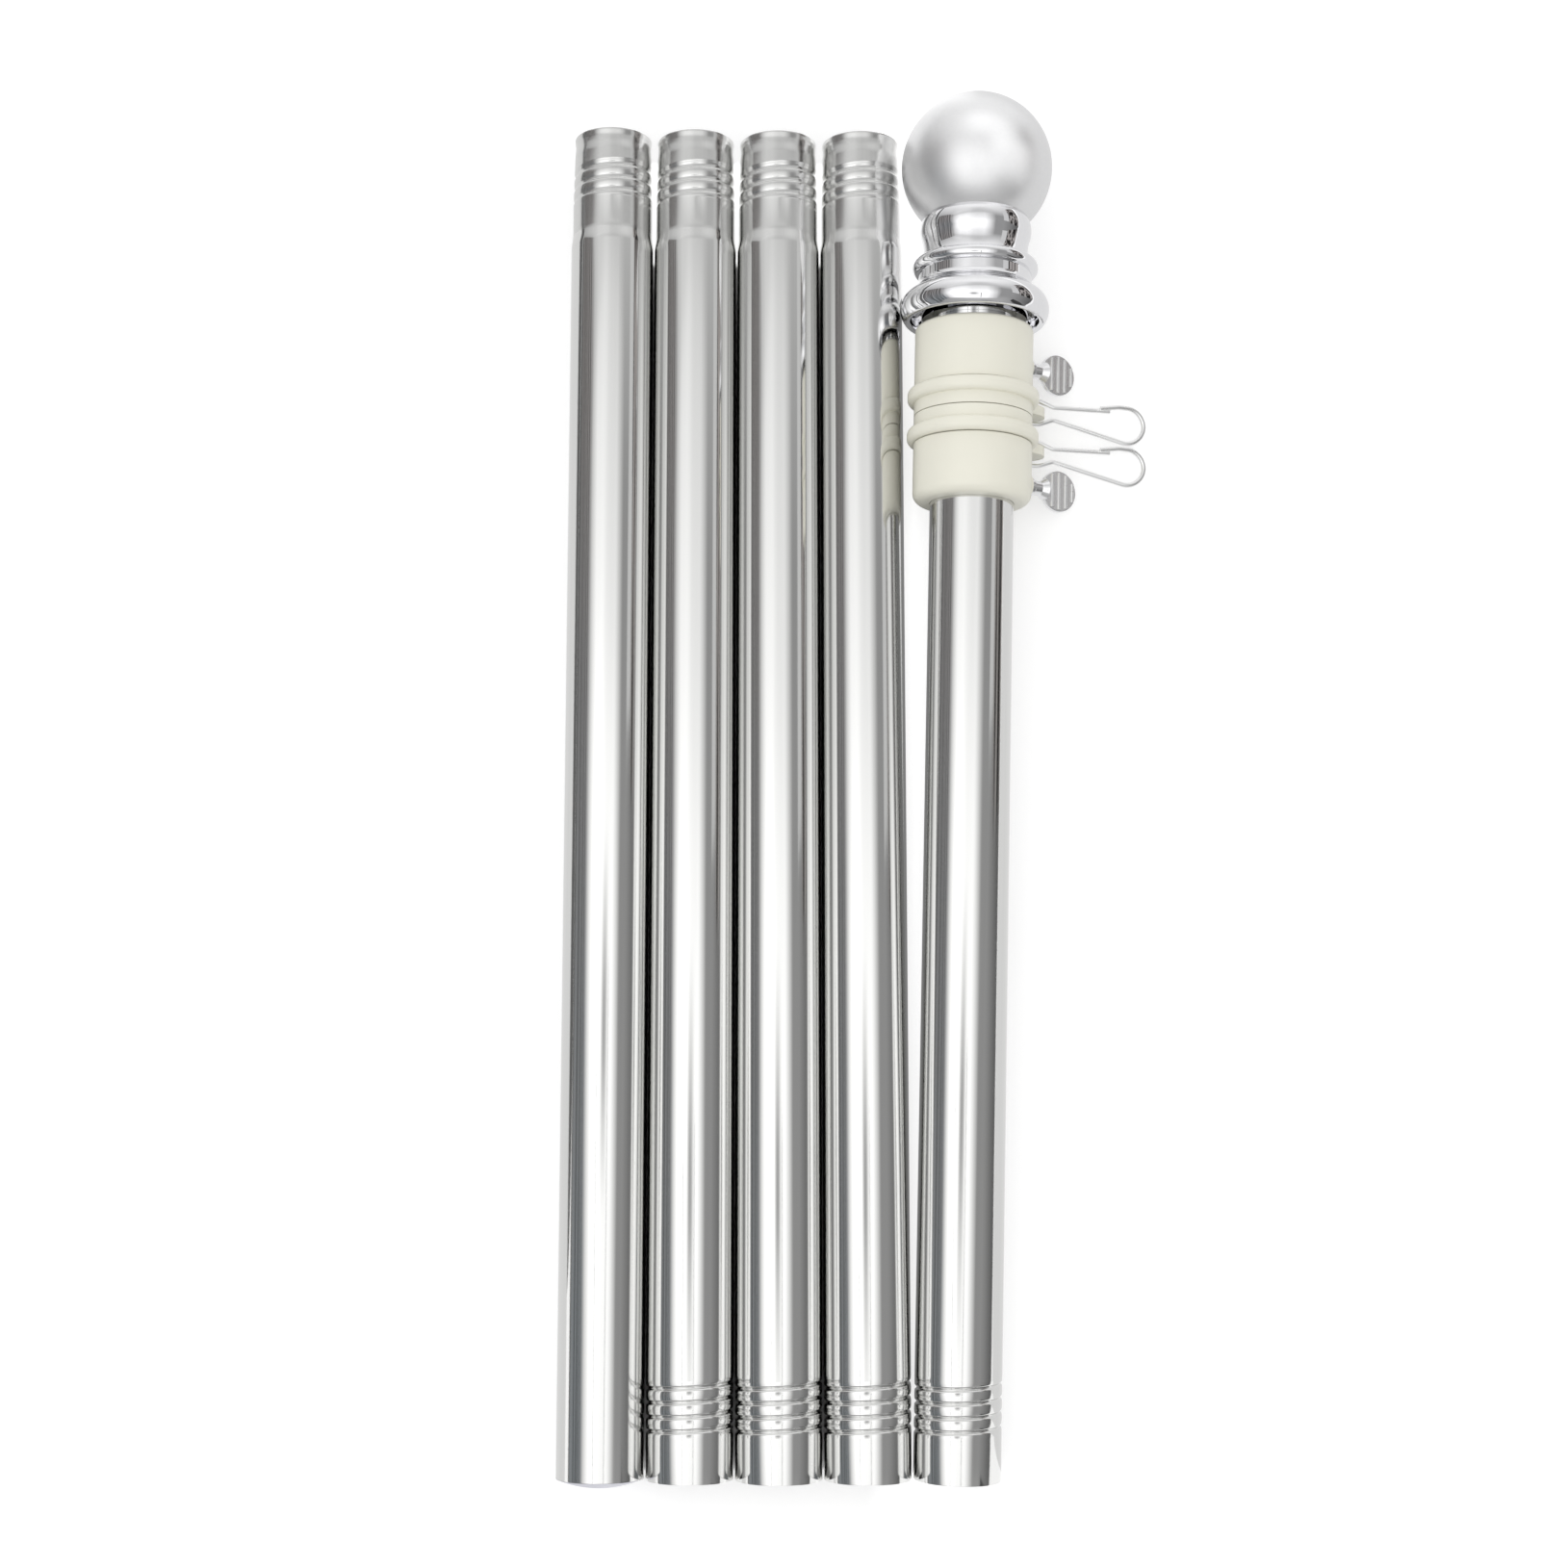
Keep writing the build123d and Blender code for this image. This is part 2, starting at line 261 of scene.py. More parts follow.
def tube_outline(length, threaded_foot, necked):
    """Outer face upwards and inner face downwards of a thin tube with rolled ends."""
    inner_radius = TUBE_RADIUS - TUBE_WALL
    fine_low, fine_high = (FOOT_GROOVE + turns * THREAD_PITCH for turns in FOOT_FINE_TURNS)
    outer = [(TUBE_RADIUS - inset, height) for inset, height in FOOT_EDGE]
    if threaded_foot:
        outer += [(TUBE_RADIUS, height) for height in steps(fine_low, fine_high, THREAD_ROW)]
    sunk = FOOT_DEPTH + FOOT_CREST if threaded_foot else 0
    inner_foot = [(inner_radius - sunk, fine_high),
                  (inner_radius - sunk, FOOT_GROOVE),
                  (inner_radius, FOOT_GROOVE - THREAD_PITCH / 2),
                  (inner_radius, FOOT_INSIDE)]
    if not necked:
        return outer + [(TUBE_RADIUS, length), (inner_radius, length)] + inner_foot
    for height in steps(*SHOULDER, SHOULDER_ROW):
        narrower = (TUBE_RADIUS - NECK_RADIUS) * smoothstep(*SHOULDER, height)
        outer.append((TUBE_RADIUS - narrower, height))
    rim_foot = length - RIM_LENGTH
    thread_foot = length - NECK_GROOVE - THREAD_PITCH / 2
    for height in steps(thread_foot, rim_foot, THREAD_ROW):
        outer.append((NECK_RADIUS - NECK_TAPER * smoothstep(thread_foot, rim_foot, height), height))
    for height in steps(rim_foot + RIM_FIRST_ROW, length - RIM_LAST_ROW, RIM_ROW):
        waist = smoothstep(rim_foot, length - RIM_WAIST, height)
        flare = smoothstep(length - RIM_FLARE, length, height)
        outer.append((NECK_RADIUS - NECK_TAPER
                      + (RIM_WAIST_RADIUS - NECK_RADIUS + NECK_TAPER) * waist
                      + (RIM_RADIUS - RIM_WAIST_RADIUS) * flare, height))
    outer += [(RIM_RADIUS - RIM_EDGE, length), (RIM_RADIUS - TUBE_WALL + RIM_EDGE, length)]
    thread_bore = NECK_RADIUS - TUBE_WALL - NECK_TAPER - NECK_DEPTH
    inner = [(RIM_RADIUS - TUBE_WALL, length - RIM_LAST_ROW),
             (thread_bore, length - RIM_LENGTH),
             (thread_bore, length - NECK_GROOVE),
             (NECK_RADIUS - TUBE_WALL, SLEEVE_LENGTH + SHOULDER_LENGTH),
             (inner_radius, SLEEVE_LENGTH)]
    return outer + inner + inner_foot


def tube_relief(length, threaded_foot, necked):
    """Relief of a tube's outer face: its foot's thread and its neck's."""
    middle = length / 2
    neck_low = length - NECK_GROOVE - THREAD_PITCH

    def relief(radius, height, angle):
        if threaded_foot and height < middle and radius > TUBE_RADIUS - TUBE_WALL / 2:
            return foot_relief(height, angle)
        if necked and height > neck_low and radius > RIM_WAIST_RADIUS - TUBE_WALL / 2:
            return neck_relief(height, angle, length)
        return 0.0

    return relief


# Shader nodes -----------------------------------------------------------------------------------

def new_material(name):
    """A new material, its node tree and its Principled BSDF."""
    material = bpy.data.materials.new(name)
    material.use_nodes = True
    return material, material.node_tree, material.node_tree.nodes["Principled BSDF"]


def add_node(tree, kind, **settings):
    """A node with its properties and socket values set."""
    node = tree.nodes.new(kind)
    for key, value in settings.items():
        if hasattr(node, key):
            setattr(node, key, value)
        else:
            node.inputs[key.replace("_", " ")].default_value = value
    return node


def combine(tree, operation, first, second):
    """Two values put together by one math node."""
    made = add_node(tree, "ShaderNodeMath", operation=operation)
    tree.links.new(first, made.inputs[0])
    tree.links.new(second, made.inputs[1])
    return made.outputs[0]


def weighted_sum(tree, first, second, weight):
    """First value plus the second one times weight."""
    total = add_node(tree, "ShaderNodeMath", operation="MULTIPLY_ADD")
    total.inputs[1].default_value = weight
    tree.links.new(second, total.inputs[0])
    tree.links.new(first, total.inputs[2])
    return total.outputs[0]


def map_range(tree, value, from_low, from_high, to_low, to_high):
    """Straight map of a value from one range to another."""
    made = add_node(tree, "ShaderNodeMapRange", From_Min=from_low, From_Max=from_high,
                    To_Min=to_low, To_Max=to_high)
    tree.links.new(value, made.inputs["Value"])
    return made.outputs["Result"]


def blend(tree, factor, first, second):
    """Colour between two colours."""
    made = add_node(tree, "ShaderNodeMix", data_type="RGBA")
    made.inputs["A"].default_value = (*first, 1)
    made.inputs["B"].default_value = (*second, 1)
    tree.links.new(factor, made.inputs["Factor"])
    return made.outputs["Result"]


def stretched(tree, source, scale):
    """A vector stretched by scale."""
    mapping = add_node(tree, "ShaderNodeMapping", Scale=scale)
    tree.links.new(source, mapping.inputs["Vector"])
    return mapping.outputs["Vector"]


def noise(tree, vector, scale, detail=2.0):
    """Noise between 0 and 1 on the given vector."""
    made = add_node(tree, "ShaderNodeTexNoise", Scale=scale, Detail=detail)
    tree.links.new(vector, made.inputs["Vector"])
    return made.outputs["Fac"]


def bump(tree, height, distance):
    """Bump normal from a height in metres times distance."""
    made = add_node(tree, "ShaderNodeBump", Strength=1.0, Distance=distance)
    tree.links.new(height, made.inputs["Height"])
    return made.outputs["Normal"]


def object_vector(tree):
    """Place in the object's own coordinates."""
    return add_node(tree, "ShaderNodeTexCoord").outputs["Object"]


def object_place(tree):
    """Separate X, Y and Z of the object's own coordinates."""
    place = add_node(tree, "ShaderNodeSeparateXYZ")
    tree.links.new(object_vector(tree), place.inputs[0])
    return place


def local_vector(tree, scale, made):
    """Place in a made piece's own frame, or in a CAD node's own coordinates, stretched by
    scale."""
    if made:
        source = add_node(tree, "ShaderNodeAttribute", attribute_name="local_place")
        return stretched(tree, source.outputs["Vector"], scale)
    return stretched(tree, object_vector(tree), scale)


# Materials --------------------------------------------------------------------------------------

# Metal: how streaks are stretched along a drawn tube, roughness of the clear coat, darkest tone
# between the streaks, how the wide blotches are stretched and scaled, and the span of streaks plus
# blotches that the roughness follows
DRAWN = 0.012
COAT_ROUGHNESS = 0.12
STREAK_TONE = 0.94
STREAK_DETAIL = 3.0
BLOTCH_STRETCH = (1, 1, 0.4)
BLOTCH_SCALE = 60.0
ROUGHNESS_SPAN = (0.6, 1.4)

# Plastic: scale and tones of its mottle, and scale, depth and effect of its orange peel
MOTTLE_SCALE = 90.0
MOTTLE_TONES = (0.97, 1.02)
PEEL_SCALE = 700.0
PEEL_DEPTH = 0.00002
PEEL_SPAN = (0.3, 0.7)
PEEL_SPREAD = 0.04


def metal(name, tone, roughness, spread, streak, made, stretch=1.0, wave=900.0, coat=0.0,
          metallic=1.0):
    """Metal whose streaks vary its tone, roughness and surface. A stretch under 1 draws them out
    along local Z."""
    material, tree, surface = new_material(name)
    surface.inputs["Metallic"].default_value = metallic
    surface.inputs["Coat Weight"].default_value = coat
    surface.inputs["Coat Roughness"].default_value = COAT_ROUGHNESS
    streaks = noise(tree, local_vector(tree, (1, 1, stretch), made), wave, STREAK_DETAIL)
    blotches = noise(tree, local_vector(tree, BLOTCH_STRETCH, made), BLOTCH_SCALE)
    rough = map_range(tree, combine(tree, "ADD", streaks, blotches), *ROUGHNESS_SPAN,
                      roughness - spread, roughness + spread)
    tree.links.new(rough, surface.inputs["Roughness"])
    shade = blend(tree, streaks, [level * STREAK_TONE for level in tone], tone)
    tree.links.new(shade, surface.inputs["Base Color"])
    tree.links.new(bump(tree, streaks, streak), surface.inputs["Normal"])
    return material


def plastic(name, tone, roughness):
    """Moulded plastic: a faint mottle in its colour and a fine orange peel."""
    material, tree, surface = new_material(name)
    place = local_vector(tree, (1, 1, 1), False)
    darker, lighter = ([min(1, level * shade) for level in tone] for shade in MOTTLE_TONES)
    shade = blend(tree, noise(tree, place, MOTTLE_SCALE), darker, lighter)
    tree.links.new(shade, surface.inputs["Base Color"])
    peel = noise(tree, place, PEEL_SCALE)
    rough = map_range(tree, peel, *PEEL_SPAN, roughness - PEEL_SPREAD, roughness + PEEL_SPREAD)
    tree.links.new(rough, surface.inputs["Roughness"])
    tree.links.new(bump(tree, peel, PEEL_DEPTH), surface.inputs["Normal"])
    return material


# Tone, roughness, how far it spreads either way and, for metal, the streaks' depth in metres
POLISHED = metal("polished_stainless", (0.79, 0.79, 0.78), 0.10, 0.03, 0.0000012, True, DRAWN)
ROLLED = metal("rolled_stainless", (0.74, 0.74, 0.73), 0.19, 0.04, 0.000002, True, DRAWN)
SATIN = metal("satin_silver", (0.79, 0.79, 0.795), 0.4, 0.01, 0.0, False, coat=0.05,
              metallic=0.88)
CHROME = metal("mirror_chrome", (0.87, 0.87, 0.885), 0.03, 0.01, 0.0000002, False)
NICKEL = metal("bright_nickel", (0.92, 0.92, 0.93), 0.24, 0.04, 0.000001, False)
RIB_NICKEL = metal("rib_nickel", (0.93, 0.93, 0.93), 0.3, 0.04, 0.000001, True)
WIRE = metal("spring_wire", (0.94, 0.94, 0.935), 0.28, 0.02, 0.0, False, wave=200.0)
IVORY = plastic("ivory_plastic", (0.8, 0.785, 0.685), 0.36)
PLUG = plastic("plug_plastic", (0.68, 0.68, 0.75), 0.42)


# Pieces -----------------------------------------------------------------------------------------

def build_tube(node, place, length, threaded_foot, necked):
    """A tube with its rolled threads."""
    piece = lathe(node + "_rolled", place, tube_outline(length, threaded_foot, necked),
                  tube_relief(length, threaded_foot, necked))
    piece.data.materials.append(POLISHED)
    return piece


def build_section(node):
    """One parallel section, whose neck has a rougher finish. The bottom one has a plain foot."""
    piece = build_tube(node, section_frame(node), SECTION_LENGTH, node != SECTIONS[0], True)
    piece.data.materials.append(ROLLED)
    neck = (SLEEVE_LENGTH + SHOULDER_LENGTH - FINISH_OVERLAP) * MM
    place = piece.data.attributes["local_place"].data
    for face in piece.data.polygons:
        if min(place[index].vector.z for index in face.vertices) >= neck:
            face.material_index = 1
    return piece


def build_top_tube():
    """The top section's tube, with the thread at its foot, up to where the finial hides it."""
    return build_tube("top_section_tube", POLE, TOP_TUBE_SHOWN, True, False)


def build_ribs(node, turning):
    """Rounded caps over the flat ribs on both faces of a thumbscrew's paddle."""
    hinge = joint(turning)
    out = Vector(hinge["axis"]).normalized()
    along = POLE.to_3x3() @ Vector((0, 0, 1))
    place = Matrix((out, out.cross(along), along)).transposed().to_4x4()
    place.translation = Vector(hinge["pos_m"])
    count = RIB_ARC + 1
    points, faces = [], []
    for side in (-1, 1):
        for step in range(-RIB_STEPS, RIB_STEPS + 1):
            across = step * RIB_PITCH
            half = math.sqrt((PADDLE_RADIUS - RIB_MARGIN) ** 2 - across ** 2)
            first = len(points)
            for end in (-half, half):
                for k in range(count):
                    turn = math.pi * k / RIB_ARC
                    rise = PADDLE_HALF - RIB_SINK + RIB_RISE * math.sin(turn)
                    width = across + RIB_HALF_WIDTH * math.cos(turn)
                    points.append(Vector((width, side * rise, end)) * MM)
            faces += [(first + k, first + k + 1, first + k + 1 + count, first + k + count)
                      for k in range(RIB_ARC)]
            faces += [tuple(range(first, first + count)),
                      tuple(range(first + count, first + 2 * count))]
    return add_piece(node + "_ribs", place, points, faces, RIB_CREASE)


def dress(node, material):
    """Gives a CAD node one material."""
    materials = frame["nodes"][node].data.materials
    materials.clear()
    materials.append(material)


for name in SECTIONS:
    piece = build_section(name)
    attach(piece, "kit")
    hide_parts(name)

piece = build_top_tube()
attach(piece, "kit")
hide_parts("top_section_tube")

for node, turning in (("upper_thumbscrew", "upper_screw_turn"),
                      ("lower_thumbscrew", "lower_screw_turn")):
    piece = build_ribs(node, turning)
    piece.data.materials.append(RIB_NICKEL)
    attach(piece, joint(turning)["child"])

dress("bottom_end_plug", PLUG)
dress("finial_ball", SATIN)
dress("finial_neck", CHROME)
dress("finial_liner", CHROME)
for name in ("upper_collar", "lower_collar", "upper_swivel_ring", "lower_swivel_ring"):
    dress(name, IVORY)
for name in ("upper_thumbscrew", "lower_thumbscrew"):
    dress(name, NICKEL)
for name in ("upper_clip", "lower_clip"):
    dress(name, WIRE)


# Stage ------------------------------------------------------------------------------------------

# Camera, in mm from the floor under the foot of the third section's axis, and its turns in degrees
CAMERA_PLACE = (-10.94, 99.13, 710.83)
CAMERA_TURN = (8.426, -1.027, 0.107)
CAMERA_LENS = 53.9
CAMERA_SENSOR = 36.0
THIRD_FOOT = section_frame("third_section_tube").translation
CAMERA_SPOT = Vector((THIRD_FOOT.x, THIRD_FOOT.y, 0)) + Vector(CAMERA_PLACE) * MM

# Table. Its glow is left out under the sleeves as painted shade, with edges this soft, and is
# raised as painted light between the necks and in a soft strip beside the fourth section.
TABLE_HALF = 3
TABLE_GREY = 0.7
FLOOR_GLOW = 0.43
PAINTED_MASK_SOFT = (0.001, 0.001)
# Painted light: how much more the floor glows beside the fourth section and between the necks, and
# where that strip lies
GAP_PAINTED_LIGHT = 0.35
PAINTED_LIGHT_STRIP_CENTRE = 0.004
PAINTED_LIGHT_STRIP_HALF = 0.016

# Softbox: its height, its ends with their soft edges, how far its left edge leans, and its levels
# as (place, level) pairs
SOFTBOX_HEIGHT = 0.9
SOFTBOX_X = (-1.36, 0.66)
SOFTBOX_X_SOFT = (0.78, 0.42)
SOFTBOX_SKEW = 0.2
SOFTBOX_Y = (-0.85, 1.1)
SOFTBOX_Y_SOFT = (0.15, 0.3)
SOFTBOX_ALONG = ((-0.85, 1.5), (-0.35, 1.56), (-0.1, 1.62), (0.22, 1.25), (0.46, 1.0), (0.6, 0.76),
                 (0.8, 0.84), (1.1, 0.95))
SOFTBOX_ACROSS = ((-1.3, 0.9), (-0.7, 1.0), (-0.35, 1.0), (-0.05, 0.84), (0.3, 0.84), (0.9, 0.84))

# Room: rows, columns and radius of its dome, and its lowest row and its span in degrees. Its level
# is the sum of three straight ramps, by height, at the near end and at the far end, each written as
# two places and the levels there.
ROOM_ROWS = 24
ROOM_COLUMNS = 48
ROOM_RADIUS = 2.6
ROOM_RISE = (-8, 98)
ROOM_BY_HEIGHT = (0.15, 1.5, 0.13, 0.33)
ROOM_NEAR = (-2.0, -0.9, 0.16, 0)
ROOM_FAR = (0.7, 2.2, 0, 0.75)

# Dim patch under the camera: half its size, its centre from the camera's, height, level and edges
SHADE_HALF = (0.13, 0.14)
SHADE_OFFSET = (-0.025, -0.03)
SHADE_HEIGHT = 0.74
SHADE_LEVEL = 0.45
SHADE_X_SOFT = (0.1, 0.1)
SHADE_Y_SOFT = (0.12, 0.12)

# The camera's arms: their places from it, near end, height, width, length and level
CAMERA_ARMS = (("left_arm", -0.29), ("right_arm", 0.12))
ARM_NEAR_END = -0.6
ARM_HEIGHT = 0.8
ARM_WIDTH = 0.014
ARM_LENGTH = 0.5
ARM_LEVEL = 0.2

# Upright cards as a corner, two sides and a level
SIDE_PANEL = ((1.5, 0.2, 0.72), (0, 1.1, 0), (0, 0, 0.42), 0.66)
NEAR_RIGHT_STAND = ((1.5, -1.2, 0), (0, 0.4, 0), (0, 0, 0.9), 0.05)

# Racks: corner and two sides, stretch of their bands, levels, and the tints at their near and far
# end. RACK_BANDS are the noise values, RACK_TINT_ENDS the places, between which they change.
RACKS = (("left_rack", ((-1.5, -1.2, 0.1), (0, 2.1, 0), (0, 0, 1.25)), (0, 0.3, 16), (0.1, 0.33),
          ((0.92, 0.98, 1.03), (1.03, 0.98, 0.97))),
         ("right_rack", ((1.5, 0.1, 0), (0, 1.4, 0), (0, 0, 0.7)), (0, 2.5, 9), (0.02, 0.4),
          ((1.02, 1.0, 0.97), (1.04, 0.97, 0.94))))
RACK_BANDS = (0.42, 0.58)
RACK_TINT_ENDS = (-0.5, 0.6)

# Cards on the table: its dark far left part, papers on the left and on the right of the top
# section, and a dark card of painted shade in the gap beside it, each with its height over the
# table
TABLE_EDGE_CORNER = (-1.4, -0.17, 0.001)
TABLE_EDGE_LENGTH = 1.1
TABLE_EDGE_LEVEL = 0.14
PAPER_HEIGHT = 0.0008
PAPER_LEVEL = 0.82
LEFT_PAPER_REACH = 0.085
LEFT_PAPER_NEAR_END = -0.3
LEFT_PAPER_LENGTH = 0.62
RIGHT_PAPER_WIDTH = 0.5
RIGHT_PAPER_LENGTH = 0.55
# Painted shade: the dark card that polished surfaces show in place of the shadowed table in the gap
GAP_PAINTED_SHADE_HEIGHT = 0.0006
GAP_PAINTED_SHADE_LEVEL = 0.25
GAP_PAINTED_SHADE_WIDTH = -0.03
GAP_PAINTED_SHADE_LENGTH = 0.36

# Soft lights on the ball: name, place from its centre, size and power
BALL_LIGHTS = (("ball_right_light", (0.74, -0.05, 0.66), (0.9, 1.3), 2.7),
               ("ball_top_light", (-0.12, 0.1, 0.98), (1.4, 0.7), 3.0),
               ("ball_far_light", (0.22, 0.58, 0.78), (1.2, 0.9), 1.7))

# Fill light of the world, and how much it leans towards the left and the far end
WORLD_LEVEL = 0.95
WORLD_LEAN = (-0.08, 0.15, 0.0)


def add_stage(name, points, faces):
    """Mesh object for the stage, linked to the scene."""
    obj = add_mesh(name, points, faces)
    return obj


def stage_plane(name, low, high, height):
    """Level rectangle for the stage, linked to the scene."""
    return add_stage(name, [(low[0], low[1], height), (high[0], low[1], height),
                            (high[0], high[1], height), (low[0], high[1], height)],
                     [(0, 1, 2, 3)])


def emission_material(name, sampled=False):
    """Material with one emission shader, and its tree and shader. An unsampled one lights only the
    rays that meet it by chance."""
    material = bpy.data.materials.new(name)
    material.use_nodes = True
    tree = material.node_tree
    tree.nodes.remove(tree.nodes["Principled BSDF"])
    shader = add_node(tree, "ShaderNodeEmission")
    tree.links.new(shader.outputs[0], tree.nodes["Material Output"].inputs["Surface"])
    if not sampled:
        material.cycles.emission_sampling = "NONE"
    return material, tree, shader


def shown_ray(tree):
    """1 for camera, glossy and transmission rays."""
    path = add_node(tree, "ShaderNodeLightPath")
    seen = combine(tree, "ADD", path.outputs["Is Camera Ray"], path.outputs["Is Glossy Ray"])
    return combine(tree, "ADD", seen, path.outputs["Is Transmission Ray"])


def edge_fade(tree, value, ends, soft):
    """1 between the two ends and 0 outside them, with soft edges inside."""
    rise = map_range(tree, value, ends[0], ends[0] + soft[0], 0, 1)
    fall = map_range(tree, value, ends[1] - soft[1], ends[1], 1, 0)
    return combine(tree, "MULTIPLY", rise, fall)


def level_curve(tree, value, levels):
    """Smooth curve through (place, level) pairs."""
    low, high, most = levels[0][0], levels[-1][0], max(level for _, level in levels)
    made = add_node(tree, "ShaderNodeFloatCurve")
    curve = made.mapping.curves[0]
    curve.points[0].location = (0, levels[0][1] / most)
    curve.points[1].location = (1, levels[-1][1] / most)
    for place, level in levels[1:-1]:
        curve.points.new((place - low) / (high - low), level / most)
    made.mapping.update()
    tree.links.new(map_range(tree, value, low, high, 0, 1), made.inputs["Value"])
    return map_range(tree, made.outputs[0], 0, 1, 0, most)


def fade_to_clear(tree, shader, amount):
    """Shows the shader by the given amount and what lies behind it for the rest."""
    mix = add_node(tree, "ShaderNodeMixShader")
    tree.links.new(amount, mix.inputs[0])
    tree.links.new(add_node(tree, "ShaderNodeBsdfTransparent").outputs[0], mix.inputs[1])
    tree.links.new(shader.outputs[0], mix.inputs[2])
    tree.links.new(mix.outputs[0], tree.nodes["Material Output"].inputs["Surface"])


def only_in_reflections(obj):
    """Hides a stage object from everything but glossy rays."""
    obj.visible_camera = False
    obj.visible_diffuse = False
    obj.visible_transmission = False
    obj.visible_shadow = False


def build_floor():
    """White table. It lights up a little to the camera and to glossy and transmission rays, so
    that it shows white and keeps the shadows. Under the sleeves that glow is left out as painted
    shade, and between the necks and in a strip beside the fourth section it is raised as painted
    light."""
    floor = stage_plane("table", (-TABLE_HALF, -TABLE_HALF), (TABLE_HALF, TABLE_HALF), 0.0)
    material, tree, surface = new_material("white_table")
    surface.inputs["Base Color"].default_value = (TABLE_GREY, TABLE_GREY, TABLE_GREY, 1)
    surface.inputs["Roughness"].default_value = 1.0
    surface.inputs["Specular IOR Level"].default_value = 0.0
    glow = add_node(tree, "ShaderNodeEmission")
    place = object_place(tree)
    low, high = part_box(SECTIONS[0])[0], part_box(SECTIONS[-1])[1]
    shoulder = low.y + SLEEVE_LENGTH * MM
    radius = TUBE_RADIUS * MM
    # Painted shade: the floor gets no glow under the sleeves, between the axes of the first and the
    # fourth section
    between = edge_fade(tree, place.outputs["X"], (low.x + radius, high.x - radius),
                        PAINTED_MASK_SOFT)
    sleeves, necks = (
        combine(tree, "MULTIPLY", between,
                edge_fade(tree, place.outputs["Y"], ends, PAINTED_MASK_SOFT))
        for ends in ((low.y, shoulder), (shoulder, high.y)))
    # Painted light: extra glow on the floor in a soft strip beside the fourth section and between
    # the necks
    gap = high.x + PAINTED_LIGHT_STRIP_CENTRE
    beside = edge_fade(tree, place.outputs["X"], (gap - PAINTED_LIGHT_STRIP_HALF, gap + PAINTED_LIGHT_STRIP_HALF),
                       (PAINTED_LIGHT_STRIP_HALF, PAINTED_LIGHT_STRIP_HALF))
    level = map_range(tree, sleeves, 0, 1, FLOOR_GLOW, 0)
    level = weighted_sum(tree, level, beside, GAP_PAINTED_LIGHT)
    level = weighted_sum(tree, level, necks, GAP_PAINTED_LIGHT)
    tree.links.new(combine(tree, "MULTIPLY", level, shown_ray(tree)), glow.inputs["Strength"])
    both = add_node(tree, "ShaderNodeAddShader")
    tree.links.new(surface.outputs[0], both.inputs[0])
    tree.links.new(glow.outputs[0], both.inputs[1])
    tree.links.new(both.outputs[0], tree.nodes["Material Output"].inputs["Surface"])
    material.cycles.emission_sampling = "NONE"
    floor.data.materials.append(material)


def build_softbox():
    skew = SOFTBOX_SKEW * SOFTBOX_Y[1]
    panel = stage_plane("softbox", (SOFTBOX_X[0] - skew, SOFTBOX_Y[0]),
                        (SOFTBOX_X[1], SOFTBOX_Y[1]), SOFTBOX_HEIGHT)
    panel.data.flip_normals()
    material, tree, shader = emission_material("softbox_light", sampled=True)
    place = object_place(tree)
    skewed = weighted_sum(tree, place.outputs["X"], place.outputs["Y"], SOFTBOX_SKEW)
    left = map_range(tree, skewed, SOFTBOX_X[0], SOFTBOX_X[0] + SOFTBOX_X_SOFT[0], 0, 1)
    right = map_range(tree, place.outputs["X"], SOFTBOX_X[1] - SOFTBOX_X_SOFT[1], SOFTBOX_X[1],
                      1, 0)
    along = edge_fade(tree, place.outputs["Y"], SOFTBOX_Y, SOFTBOX_Y_SOFT)
    level = combine(tree, "MULTIPLY", level_curve(tree, place.outputs["Y"], SOFTBOX_ALONG),
                    level_curve(tree, place.outputs["X"], SOFTBOX_ACROSS))
    tree.links.new(level, shader.inputs["Strength"])
    across = combine(tree, "MULTIPLY", left, right)
    fade_to_clear(tree, shader, combine(tree, "MULTIPLY", across, along))
    panel.data.materials.append(material)
    panel.visible_camera = False
    panel.visible_shadow = False


def build_studio():
    """Grey room that only polished surfaces show, brighter towards its far end."""
    centre = (cad_low + cad_high) / 2
    points = []
    for row in range(ROOM_ROWS + 1):
        rise = math.radians(ROOM_RISE[0] + ROOM_RISE[1] * row / ROOM_ROWS)
        for column in range(ROOM_COLUMNS):
            turn = 2 * math.pi * column / ROOM_COLUMNS
            points.append((centre.x + ROOM_RADIUS * math.cos(rise) * math.cos(turn),
                           centre.y + ROOM_RADIUS * math.cos(rise) * math.sin(turn),
                           ROOM_RADIUS * math.sin(rise)))
    faces = []
    for low in range(0, ROOM_ROWS * ROOM_COLUMNS, ROOM_COLUMNS):
        high = low + ROOM_COLUMNS
        for column in range(ROOM_COLUMNS):
            beside = (column + 1) % ROOM_COLUMNS
            faces.append((low + column, low + beside, high + beside, high + column))
    room = add_stage("studio_room", points, faces)
    material, tree, shader = emission_material("studio_grey")
    place = object_place(tree)
    level = map_range(tree, place.outputs["Z"], *ROOM_BY_HEIGHT)
    for ends in (ROOM_NEAR, ROOM_FAR):
        level = weighted_sum(tree, level, map_range(tree, place.outputs["Y"], *ends), 1.0)
    tree.links.new(level, shader.inputs["Strength"])
    room.data.materials.append(material)
    only_in_reflections(room)


